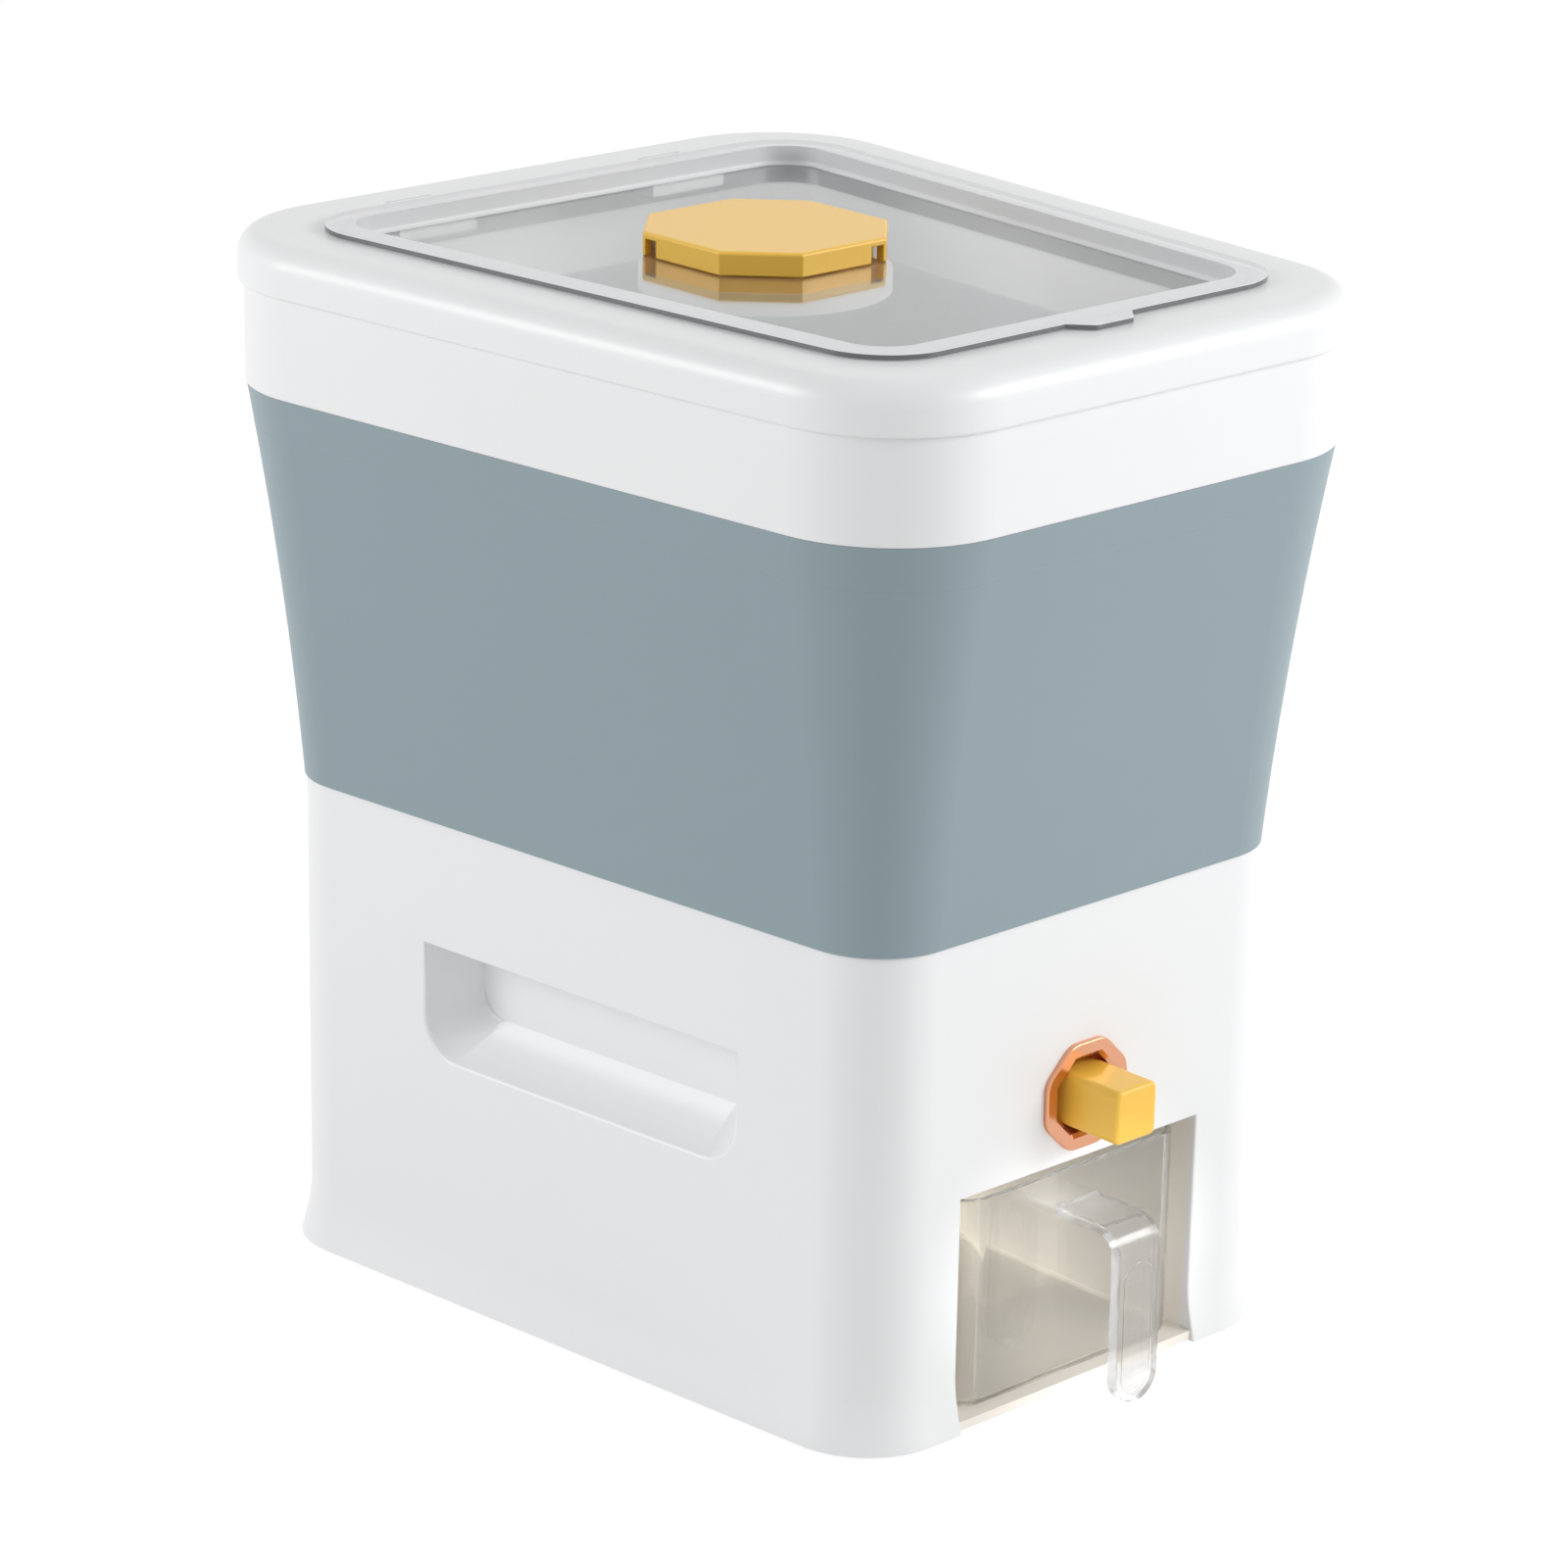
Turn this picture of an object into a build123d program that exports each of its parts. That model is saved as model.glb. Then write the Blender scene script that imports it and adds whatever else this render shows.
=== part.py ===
from build123d import *
import math
import os

# A push-button rice dispenser: a white base with a cup bay, a flared grey-blue
# hopper with a sloped floor, a white collar and frame, and a clear hinged lid.
# Millimetres, +Z up, the front (button and cup) faces -Y.

# Body plan: a rounded trapezoid, wider at the back
base_front_width = 183.0
base_back_width = 231.0
base_depth = 268.0
base_corner = 26.5

# Heights of the tiers, from the table up
shell_bottom = 1.0
base_height = 165.0
band_height = 134.0
collar_height = 40.0
rim_lap = 6.5
rim_crown = 10.0

# How far each tier stands out from the one below
foot_flare = 3.5
foot_flare_height = 18.0
band_foot_step = 0.8
band_flare = 17.3
band_bow = 0.36
collar_overhang = 0.4
rim_overhang = 2.0

# Rounded edges of the body
rim_round = 8.0
rim_lower_round = 1.2
collar_edge_round = 0.8

# Walls
base_wall = 2.8
hopper_wall = 2.0
collar_wall = 2.4
frame_plate = 3.0
spigot_wall = 1.3
spigot_root = 6.0
spigot_height = 3.0
tongue_wall = 1.6
tongue_height = 8.0
tongue_root = 14.0

# Fits
running_gap = 0.3
seat_gap = 0.2
pin_gap = 0.05
snug_gap = 0.02
overcut = 1.0

# Cup bay, open at the front
bay_side_margin = 38.2
bay_height = 80.0
bay_depth = 120.0
bay_wall = 2.0
bay_floor_bottom = 1.6
bay_floor_thickness = 2.9

# Bottom plate, pads and screws
plate_bottom = 3.0
plate_thickness = 3.0
foot_radius = 8.0
foot_stub_radius = 2.5
foot_inset_side = 24.0
foot_inset_end = 24.0
boss_radius = 4.5
boss_height = 28.0
boss_inset_side = 11.0
boss_inset_end = 40.0
rib_thickness = 2.0
screw_radius = 1.4
screw_head_radius = 2.8
screw_head_height = 1.6
screw_length = 14.0
screw_slot_length = 3.2
screw_slot_width = 0.8

# Grip pockets in the two sides
grip_length = 138.0
grip_bottom = 84.0
grip_height = 39.0
grip_depth = 20.0
grip_middle = -8.0
grip_corner = 14.0
grip_end_draft = 8.0
grip_floor_draft = 11.0
grip_wall = 2.2

# Push button and its bezel
button_rise = 22.0
button_size = 18.2
button_reach = 23.2
button_guide = 4.0
button_round = 2.6
button_edge_round = 1.6
bezel_clear = 3.5
bezel_rim = 5.4
bezel_proud = 1.8
bezel_corner_round = 8.0
bezel_edge_round = 0.7
bezel_bevel = 1.2
bezel_tube_wall = 2.0
bezel_depth = 12.0
bezel_floor = 2.0
retainer_thickness = 1.6
retainer_rim = 4.0

# Gate: a slotted plate that slides between the funnel's deck and its housing
gate_travel = 11.0
gate_slot_width = 44.0
gate_slot_overlap = 1.0
gate_slot_round = 2.0
gate_edge = 8.0
gate_end = 5.0
gate_tail = 18.0
gate_thickness = 3.0
stop_gap = 2.0
deck_margin = 8.0
deck_thickness = 3.0
deck_side = 4.2
rail_width = 5.5
housing_floor = 3.5
housing_wall = 2.5
gate_screw_inset = 6.0
gate_screw_bite = 2.0
screw_boss_radius = 3.5
screw_boss_height = 5.0
stem_width = 12.0
stem_height = 8.0
stem_insert = 16.0
seal_thickness = 1.2
seal_proud = 0.1
seal_width = 2.6
seal_margin = 1.4
seal_round = 3.0

# Funnel: the hopper's sloped floor
funnel_rim = 18.0
funnel_wall = 2.4
funnel_edge = 0.6
ledge_thickness = 2.0
outlet_side = 6.0
outlet_margin = 7.0
outlet_round = 6.0

# Return spring, coiled along Y behind the gate
spring_radius = 3.6
spring_wire = 1.0
spring_length = 28.0
spring_turns = 7
spring_peg_gap = 0.7
spring_peg_length = 8.0

# Chute from the gate into the cup
chute_side = 3.0
chute_end = 2.0
chute_wall = 2.0
chute_flange = 4.0
chute_drop = 0.2

# Clear lid, set into the frame
lid_front_inset = 6.2
lid_back_inset = 8.5
lid_side_inset = 3.2
lid_corner = 25.0
lid_flange = 8.0
lid_thickness = 1.8
lid_wall = 2.0
lid_recess = 6.4
lid_lift = 0.2
lid_opening_gap = 0.8
tray_round = 2.5
tray_inner_round = 1.5
tab_base_width = 31.0
tab_tip_width = 16.0
tab_reach = 7.0
tab_round = 2.5
gasket_width = 2.0
gasket_depth = 1.2
gasket_land = 0.8
opening_skirt = 2.0

# Lid hinge: two leaves bonded under the lid's flange, in notches of the frame
hinge_spacing = 110.0
hinge_lug_width = 18.0
hinge_back = 4.2
leaf_bond = 3.3
leaf_plate = 2.4
hinge_drop = 3.4
hinge_knuckle = 2.9
hinge_pin_radius = 1.25
hinge_pin_length = 30.0
hinge_boss_margin = 7.0
hinge_boss_wall = 3.5
hinge_side_gap = 0.4

# Knob cap, its seal, and the sachet box and cage under the lid
knob_across = 73.5
knob_corner = 18.6
knob_middle = 20.0
knob_height = 7.8
knob_skirt = 3.0
knob_top_thickness = 2.4
knob_edge_round = 1.2
knob_slot = 5.0
knob_slot_strip = 1.2
plug_radius = 18.7
plug_wall = 3.0
lug_reach = 3.0
lug_height = 1.5
lug_angle = 40.0
lug_play_angle = 6.0
twist_angle = 45.0
cap_seal_clear = 1.3
cap_seal_width = 3.5
cap_seal_height = 1.5
cap_boss_rim = 0.5
box_inset = 0.4
box_plate = 1.5
box_wall = 2.5
box_depth = 4.6
cage_rim = 4.6
cage_lip = 1.8
cage_wall = 1.5
cage_depth = 7.0
cage_vent_width = 3.0
cage_vent_pitch = 7.0
cage_vent_margin = 3.0

# Measuring cup and handle
cup_side_gap = 4.2
cup_rear_gap = 12.4
cup_headroom = 3.6
cup_wall = 2.0
cup_corner = 9.0
cup_set_back = 1.6
cup_bottom_round = 3.0
handle_width = 18.6
handle_reach = 27.6
handle_thickness = 4.2
handle_drop = 10.9
handle_arm_thickness = 3.6
handle_bend = 10.0
handle_channel = 1.2
handle_rim = 2.6

# Plan and tiers that follow from the driving dimensions
half_depth = base_depth / 2
half_width = (base_front_width + base_back_width) / 4
side_slope = (base_back_width - base_front_width) / 2 / base_depth
splay = math.sqrt(1 + side_slope**2)
front_inside = -half_depth + base_wall
collar_step = band_foot_step + band_flare + collar_overhang
rim_step = collar_step + rim_overhang
foot_top = shell_bottom + foot_flare_height
base_top = shell_bottom + base_height
band_top = base_top + band_height
collar_top = band_top + collar_height
rim_bottom = collar_top - rim_lap
frame_top = collar_top + rim_crown
set_back = (handle_reach - rim_step) / 2

# Bay and bottom
plate_top = plate_bottom + plate_thickness
bay_half = base_front_width / 2 - bay_side_margin
bay_floor = bay_floor_bottom + bay_floor_thickness
bay_back = -half_depth + bay_depth
grip_top = grip_bottom + grip_height

# Button and gate, placed one behind the other from the front wall
button_height = bay_height + button_rise
button_front = -half_depth - button_reach
bezel_opening = button_size + 2 * bezel_clear
bezel_tube = bezel_opening + 2 * bezel_tube_wall
bezel_hole = bezel_tube + 2 * seat_gap
bezel_rear = -half_depth + bezel_depth
button_rear = bezel_rear + button_guide
deck_front = button_rear + gate_travel + stop_gap
gate_slot_length = gate_travel - gate_slot_overlap
slots_length = 2 * gate_travel + gate_slot_length
outlet_width = gate_slot_width + 2 * outlet_side
outlet_length = slots_length + 2 * outlet_margin
gate_middle = deck_front + deck_margin + outlet_length / 2
gate_half_width = gate_slot_width / 2 + gate_edge
gate_front = gate_middle - 2 * gate_travel - gate_slot_length / 2 - gate_end
gate_rear = gate_middle + gate_travel + gate_slot_length / 2 + gate_tail
gate_bottom = button_height - gate_thickness / 2
gate_top = button_height + gate_thickness / 2
channel_half = gate_half_width + running_gap
housing_half = channel_half + rail_width
housing_top = gate_top + running_gap
housing_bottom = gate_bottom - running_gap - housing_floor
housing_rear = gate_rear + spring_length
deck_bottom = housing_top
deck_top = deck_bottom + deck_thickness
chute_width = gate_slot_width + 2 * chute_side
chute_length = slots_length + 2 * chute_end

# Lid, hinge, knob, sachet box and cage
lid_front = -half_depth + lid_front_inset
lid_back = half_depth - lid_back_inset
lid_half_width = half_width - lid_side_inset
lid_bottom = frame_top + lid_lift
lid_top = lid_bottom + lid_thickness
panel_top = lid_top - lid_recess
panel_bottom = panel_top - lid_wall
opening_inset = lid_flange - lid_opening_gap
gasket_inset = opening_inset - gasket_land - gasket_width
hinge_z = frame_top - hinge_drop
hinge_y = lid_back + hinge_back
hinge_sweep = math.hypot(hinge_knuckle, lid_bottom - hinge_z) + running_gap
leaf_front = lid_back - leaf_bond
leaf_bottom = lid_bottom - leaf_plate
knob_bottom = panel_top + running_gap
knob_top = knob_bottom + knob_height
box_plate_bottom = panel_bottom - box_plate
box_bottom = panel_bottom - box_depth
box_flat = knob_across / 2 - box_inset
cap_seal_inner = plug_radius + cap_seal_clear
cap_seal_outer = cap_seal_inner + cap_seal_width
cage_outer = box_flat + cage_rim
cage_inner = cage_outer - cage_wall
cage_mouth = box_flat - box_wall - cage_lip
cage_bottom = box_bottom - cage_depth

# Cup
cup_half_width = bay_half - cup_side_gap
cup_front = -half_depth + cup_set_back
cup_back = bay_back - bay_wall - cup_rear_gap
cup_bottom = bay_floor + running_gap
cup_top = bay_height - cup_headroom
handle_front = -half_depth - handle_reach
handle_arm_top = cup_top - handle_drop


def half_at(y):
    """Half of the base's width at depth y."""
    return half_width + side_slope * y


def trapezoid(front, back, half_mid, corner):
    """Flat rounded trapezoid whose sides splay as the body's do."""
    near = half_mid + side_slope * front
    far = half_mid + side_slope * back
    points = [(-near, front), (near, front), (far, back), (-far, back)]
    return make_face(FilletPolyline(*points, radius=corner, close=True))


def plan(step):
    """The base's plan with every side moved out by step."""
    return trapezoid(-half_depth - step, half_depth + step, half_width + step * splay, base_corner + step)


def lid_plan(inset):
    """The lid's plan with every side moved in by inset."""
    return trapezoid(lid_front + inset, lid_back - inset, lid_half_width - inset * splay, lid_corner - inset)


def prism(face, bottom, top):
    """A flat face on the XY plane, raised from bottom to top."""
    return extrude(Pos(0, 0, bottom) * face, amount=top - bottom, dir=(0, 0, 1))


def ring(outer, inner, bottom, top):
    """The wall between two flat outlines."""
    return prism(outer, bottom, top) - prism(inner, bottom, top)


def block(x0, x1, y0, y1, z0, z1):
    """A box between two corners."""
    return Pos((x0 + x1) / 2, (y0 + y1) / 2, (z0 + z1) / 2) * Box(x1 - x0, y1 - y0, z1 - z0)


def post(x, y, bottom, top, radius):
    """An upright cylinder."""
    return Pos(x, y, (bottom + top) / 2) * Cylinder(radius, top - bottom)


def octagon(across):
    """A regular octagon with flats across X and Y."""
    return RegularPolygon(across / 2, 8, major_radius=False, rotation=22.5)


def along_y(face, y0, y1):
    """A flat face drawn in X and Z round the button's axis, raised along Y."""
    front_plane = Plane(origin=(0, y0, button_height), x_dir=(1, 0, 0), z_dir=(0, 1, 0))
    return extrude(front_plane * face, amount=y1 - y0, dir=(0, 1, 0))


def corner_points(inset_side, inset_end):
    """Four points inside the base's corners."""
    points = []
    for y in (-half_depth + inset_end, half_depth - inset_end):
        for side in (-1, 1):
            points.append((side * (half_at(y) - inset_side), y))
    return points


def save(node, shape):
    """Writes one piece, with the origin at the centre of the whole footprint."""
    export_step(Pos(0, set_back, 0) * shape, f"parts/{node}.step")


foot_points = corner_points(foot_inset_side, foot_inset_end)
boss_points = corner_points(boss_inset_side, boss_inset_end)


# Base shell

def flared_foot():
    sections = []
    for share in (0, 1 / 3, 2 / 3, 1):
        step = foot_flare * (1 - share) ** 1.5
        sections.append(Pos(0, 0, shell_bottom + share * foot_flare_height) * plan(step))
    return loft(sections)


def side_plane(side):
    """Plane on the outside of a side wall: X along the wall, Y up, Z outwards."""
    origin = (side * half_at(grip_middle), grip_middle, 0)
    return Plane(origin=origin, x_dir=(side_slope, side, 0), z_dir=(side, -side_slope, 0))


def grip_outline(margin, end_draft, floor_draft):
    """Pocket outline: square upper corners, rounded lower ones."""
    half = grip_length / 2 + margin - end_draft
    low = grip_bottom - margin + floor_draft
    high = grip_top + margin
    points = [(-half, low), (half, low), (half, high), (-half, high)]
    face = make_face(Polyline(*points, close=True))
    lower = face.vertices().group_by(Axis.Y)[0]
    return fillet(lower, grip_corner + margin - end_draft / 2)


def grip_solid(side, margin, outside):
    """Tapering body of a pocket, from outside the wall to its back panel."""
    plane = side_plane(side)
    mouth = plane.offset(outside) * grip_outline(margin, 0, 0)
    back = plane.offset(-grip_depth - margin) * grip_outline(margin, grip_end_draft, grip_floor_draft)
    return loft([mouth, back], ruled=True)


def make_base_shell():
    shell = flared_foot() + prism(plan(0), foot_top, base_top)
    shell -= prism(plan(-base_wall), 0, base_top)
    spigot_bottom = base_top - spigot_root
    spigot_top = base_top + spigot_height
    shell += ring(plan(spigot_wall - base_wall), plan(-base_wall), spigot_bottom, spigot_top)
    for x, y in boss_points:
        wall_x = math.copysign(half_at(y) - base_wall / 2, x)
        near = min(x, wall_x)
        far = max(x, wall_x)
        half_rib = rib_thickness / 2
        shell += block(near, far, y - half_rib, y + half_rib, plate_top, plate_top + boss_height)
        shell += post(x, y, plate_top, plate_top + boss_height, boss_radius)
        shell -= post(x, y, plate_top, plate_top + screw_length, screw_radius + snug_gap)
    for side in (-1, 1):
        shell += grip_solid(side, grip_wall, -base_wall / 2)
        shell -= grip_solid(side, 0, 0)
    front = -half_depth - foot_flare - overcut
    shell -= block(-bay_half, bay_half, front, front_inside + overcut, 0, bay_height)
    return shell - along_y(octagon(bezel_hole), front, front_inside + overcut)


# Cup bay and bottom plate

def make_bay_liner():
    outer = bay_half + bay_wall
    ceiling = bay_height + bay_wall
    liner = block(-outer, outer, front_inside, bay_back, bay_floor_bottom, ceiling)
    liner -= block(-bay_half, bay_half, front_inside - overcut, bay_back - bay_wall, bay_floor, bay_height)
    lip = bay_half - running_gap
    lip_front = -half_depth - foot_flare / 2
    liner += block(-lip, lip, lip_front, front_inside, bay_floor_bottom, bay_floor)
    hole = Rectangle(chute_width + 2 * (chute_wall + seat_gap), chute_length + 2 * (chute_wall + seat_gap))
    return liner - prism(Pos(0, gate_middle) * hole, bay_height - overcut, ceiling + overcut)


def make_bottom_plate():
    plate = prism(plan(-base_wall - seat_gap), plate_bottom, plate_top)
    side = bay_half + bay_wall + seat_gap
    plate -= block(-side, side, -base_depth, bay_back + seat_gap, plate_bottom, plate_top)
    for x, y in boss_points:
        plate -= post(x, y, plate_bottom, plate_top, screw_radius + seat_gap)
    for x, y in foot_points:
        plate -= post(x, y, plate_bottom, plate_top, foot_stub_radius + snug_gap)
    return plate


def make_rubber_feet():
    feet = []
    for x, y in foot_points:
        pad = post(x, y, 0, plate_bottom, foot_radius)
        feet.append(pad + post(x, y, plate_bottom, plate_top, foot_stub_radius))
    return Compound(feet)


def screw(x, y, seat, length):
    """Pan-head screw driven upwards, its cross-slotted head under the seat."""
    head_bottom = seat - screw_head_height
    head = post(x, y, head_bottom, seat, screw_head_radius)
    slot = Rectangle(screw_slot_length, screw_slot_width) + Rectangle(screw_slot_width, screw_slot_length)
    head -= prism(Pos(x, y) * slot, head_bottom, seat - screw_head_height / 2)
    return head + post(x, y, seat, seat + length, screw_radius)


def make_bottom_screws():
    return Compound([screw(x, y, plate_bottom, screw_length) for x, y in boss_points])


# Hopper

def band_step(height):
    """How far the flared band stands out at a height."""
    share = (height - base_top) / band_height
    return band_foot_step + band_flare * ((1 - band_bow) * share + band_bow * share**2)


def flared_band(thickness):
    sections = []
    for share in (0, 0.25, 0.5, 0.75, 1):
        height = base_top + band_height * share
        sections.append(Pos(0, 0, height) * plan(band_step(height) - thickness))
    return loft(sections)


def make_hopper():
    wall = flared_band(0) - flared_band(hopper_wall)
    tongue_out = collar_step - collar_wall - running_gap
    tongue_in = tongue_out - tongue_wall
    return wall + ring(plan(tongue_out), plan(tongue_in), band_top - tongue_root, band_top + tongue_height)


# Funnel: stands on the base's spigot inside the hopper, with the gate under its deck

def outlet_outline(margin):
    """The funnel's lower opening, moved out by margin."""
    shape = RectangleRounded(outlet_width + 2 * margin, outlet_length + 2 * margin, outlet_round + margin)
    return Pos(0, gate_middle) * shape


def gate_slots(bottom, top, shift):
    """The two grain slots, moved along Y by shift."""
    slots = []
    for place in (-gate_travel, gate_travel):
        slot = RectangleRounded(gate_slot_width, gate_slot_length, gate_slot_round)
        slots.append(prism(Pos(0, gate_middle + place + shift) * slot, bottom, top))
    return slots


def seal_outline(margin):
    """Outline round both grain slots."""
    reach = 2 * (seal_margin + margin)
    shape = RectangleRounded(gate_slot_width + reach, slots_length + reach, seal_round + margin)
    return Pos(0, gate_middle) * shape


def spring_space(bottom, top):
    """Room for the return spring between the gate and the housing's rear wall."""
    half = spring_radius + spring_wire
    return block(-half, half, gate_rear, housing_rear, bottom, top)


def gate_screw_points():
    """Screws through the housing's rails, at both ends."""
    points = []
    for y in (deck_front + deck_margin / 2, housing_rear - gate_screw_inset):
        for side in (-1, 1):
            points.append((side * (channel_half + rail_width / 2), y))
    return points


def funnel_step():
    """How far the funnel's rim stands out from the base's plan."""
    return band_step(base_top + funnel_rim) - hopper_wall - seat_gap


def funnel_cone(rim_height, outlet_margin_out, outlet_height):
    """Sloped body from the outlet up to the hopper's wall."""
    rim = Pos(0, 0, rim_height) * plan(funnel_step())
    outlet = Pos(0, 0, outlet_height) * outlet_outline(outlet_margin_out)
    return loft([rim, outlet], ruled=True)


def make_funnel():
    rim_bottom_height = base_top + funnel_rim
    rim_top_height = rim_bottom_height + funnel_wall
    ledge_bottom = base_top + spigot_height
    groove_roof = deck_bottom + seal_thickness
    deck_half = housing_half + deck_side
    deck_rear = housing_rear + housing_wall
    funnel = funnel_cone(rim_bottom_height, funnel_wall, deck_bottom)
    funnel += prism(plan(funnel_step()), rim_bottom_height, rim_top_height)
    funnel += prism(plan(spigot_wall - base_wall), ledge_bottom, ledge_bottom + ledge_thickness)
    funnel += block(-deck_half, deck_half, deck_front, deck_rear, deck_bottom, deck_top)
    for x, y in gate_screw_points():
        funnel += post(x, y, deck_bottom, deck_top + screw_boss_height, screw_boss_radius)
    funnel -= funnel_cone(rim_top_height + funnel_edge, 0, deck_top)
    for x, y in gate_screw_points():
        funnel -= post(x, y, deck_bottom, deck_top + gate_screw_bite + overcut, screw_radius + snug_gap)
    for slot in gate_slots(deck_bottom - overcut, deck_top + overcut, 0):
        funnel -= slot
    funnel -= spring_space(deck_bottom, deck_top)
    return funnel - ring(seal_outline(seal_width), seal_outline(0), deck_bottom, groove_roof)


# Collar and frame

def make_collar():
    body = prism(plan(collar_step), band_top, collar_top)
    low_edge = body.edges().group_by(Axis.Z)[0]
    body = fillet(low_edge, collar_edge_round)
    return body - prism(plan(collar_step - collar_wall), band_top, collar_top)


def hinge_places():
    return (-hinge_spacing / 2, hinge_spacing / 2)


def hinge_rod(x, length, radius):
    """A cylinder along X on the hinge axis."""
    return Pos(x, hinge_y, hinge_z) * Rot(0, 90, 0) * Cylinder(radius, length)


def make_top_frame():
    frame = prism(plan(rim_step), rim_bottom, frame_top)
    frame = fillet(frame.edges().group_by(Axis.Z)[-1], rim_round)
    frame = fillet(frame.edges().group_by(Axis.Z)[0], rim_lower_round)
    groove_roof = collar_top + gasket_depth
    inner_step = collar_step - collar_wall - running_gap
    rib_step = inner_step - tongue_wall
    frame -= ring(plan(collar_step + running_gap), plan(inner_step), rim_bottom, groove_roof)
    frame -= prism(plan(rib_step), rim_bottom, frame_top - frame_plate)
    boss_half = hinge_lug_width / 2 + hinge_boss_margin
    boss_front = lid_back - lid_flange
    boss_rear = hinge_y + hinge_sweep + hinge_boss_wall
    boss_low = hinge_z - hinge_sweep - frame_plate
    boss_high = frame_top - frame_plate / 2
    for x in hinge_places():
        frame += block(x - boss_half, x + boss_half, boss_front, boss_rear, boss_low, boss_high)
    frame += prism(lid_plan(opening_inset - opening_skirt), panel_bottom, boss_high)
    frame -= prism(lid_plan(opening_inset), boss_low, frame_top)
    notch_half = hinge_lug_width / 2 + hinge_side_gap
    notch_front = hinge_y - hinge_sweep
    notch_rear = hinge_y + hinge_sweep
    seat_front = leaf_front - running_gap
    seat = leaf_bottom - running_gap
    for x in hinge_places():
        frame -= hinge_rod(x, 2 * notch_half, hinge_sweep)
        frame -= block(x - notch_half, x + notch_half, notch_front, notch_rear, hinge_z, frame_top)
        frame -= block(x - notch_half, x + notch_half, seat_front, hinge_y, seat, frame_top)
        frame -= hinge_rod(x, hinge_pin_length, hinge_pin_radius + snug_gap)
    groove_out = lid_plan(gasket_inset)
    groove_in = lid_plan(gasket_inset + gasket_width)
    return frame - ring(groove_out, groove_in, frame_top - gasket_depth, frame_top)


def make_frame_gasket():
    outer = plan(collar_step - seat_gap)
    inner = plan(collar_step - collar_wall + seat_gap)
    return ring(outer, inner, collar_top, collar_top + gasket_depth)


def make_lid_gasket():
    bottom = frame_top - gasket_depth
    outer = lid_plan(gasket_inset + seat_gap)
    inner = lid_plan(gasket_inset + gasket_width - seat_gap)
    return ring(outer, inner, bottom, lid_bottom)


def make_hinge_pins():
    return Compound([hinge_rod(x, hinge_pin_length, hinge_pin_radius) for x in hinge_places()])


# Clear lid

def finger_tab():
    base = tab_base_width / 2
    tip = tab_tip_width / 2
    root = lid_front + overcut
    end = lid_front - tab_reach
    face = make_face(Polyline((-base, root), (-tip, end), (tip, end), (base, root), close=True))
    return fillet(face.vertices().group_by(Axis.Y)[0], tab_round)


def make_clear_lid():
    tray = prism(lid_plan(lid_flange), panel_bottom, lid_top)
    tray = fillet(tray.edges().group_by(Axis.Z)[0], tray_round)
    lid = tray + prism(lid_plan(0), lid_bottom, lid_top) + prism(finger_tab(), lid_bottom, lid_top)
    cavity = prism(lid_plan(lid_flange + lid_wall), panel_top, lid_top + overcut)
    lid -= fillet(cavity.edges().group_by(Axis.Z)[0], tray_inner_round)
    return lid - post(0, knob_middle, panel_bottom, panel_top, plug_radius + running_gap)


def make_hinge_leaves():
    side = hinge_lug_width / 2
    near = hinge_y - hinge_knuckle
    far = hinge_y + hinge_knuckle
    leaves = []
    for x in hinge_places():
        leaf = block(x - side, x + side, leaf_front, hinge_y, leaf_bottom, lid_bottom)
        leaf += block(x - side, x + side, near, far, hinge_z, lid_bottom)
        leaf += hinge_rod(x, hinge_lug_width, hinge_knuckle)
        leaf -= hinge_rod(x, hinge_lug_width, hinge_pin_radius + pin_gap)
        leaves.append(leaf)
    return Compound(leaves)


# Knob cap, its seal, and the sachet box and cage under the lid

def knob_outline(inset):
    """Square with cut corners, moved in by inset."""
    half = knob_across / 2 - inset
    near = half - knob_corner + (2 - math.sqrt(2)) * inset
    points = [
        (half, -near), (half, near), (near, half), (-near, half),
        (-half, near), (-half, -near), (-near, -half), (near, -half),
    ]
    return make_face(Polyline(*points, close=True))


def knob_tab_slots():
    """Slots beside the spring tabs, at the ends of the skirt's straight sides."""
    flat = knob_across / 2
    along = flat - knob_corner - knob_slot_strip - knob_slot / 2
    across = 4 * knob_skirt
    slot_height = knob_height - knob_top_thickness
    middle = knob_bottom + slot_height / 2
    side_slot = Box(across, knob_slot, slot_height)
    end_slot = Box(knob_slot, across, slot_height)
    slots = []
    for sign in (-1, 1):
        slots.append(Pos(sign * flat, knob_middle - sign * along, middle) * side_slot)
        slots.append(Pos(-sign * along, knob_middle + sign * flat, middle) * end_slot)
    return slots


def bayonet_lug(angle, inner, outer, spread, bottom, top):
    """A sector of a ring round the knob's axis."""
    reach = 2 * outer
    half_spread = reach * math.tan(math.radians(spread / 2))
    wedge = make_face(Polyline((0, 0), (reach, -half_spread), (reach, half_spread), close=True))
    sector = ring(Circle(outer), Circle(inner), bottom, top) & prism(wedge, bottom, top)
    return Pos(0, knob_middle, 0) * Rot(0, 0, angle) * sector


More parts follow.
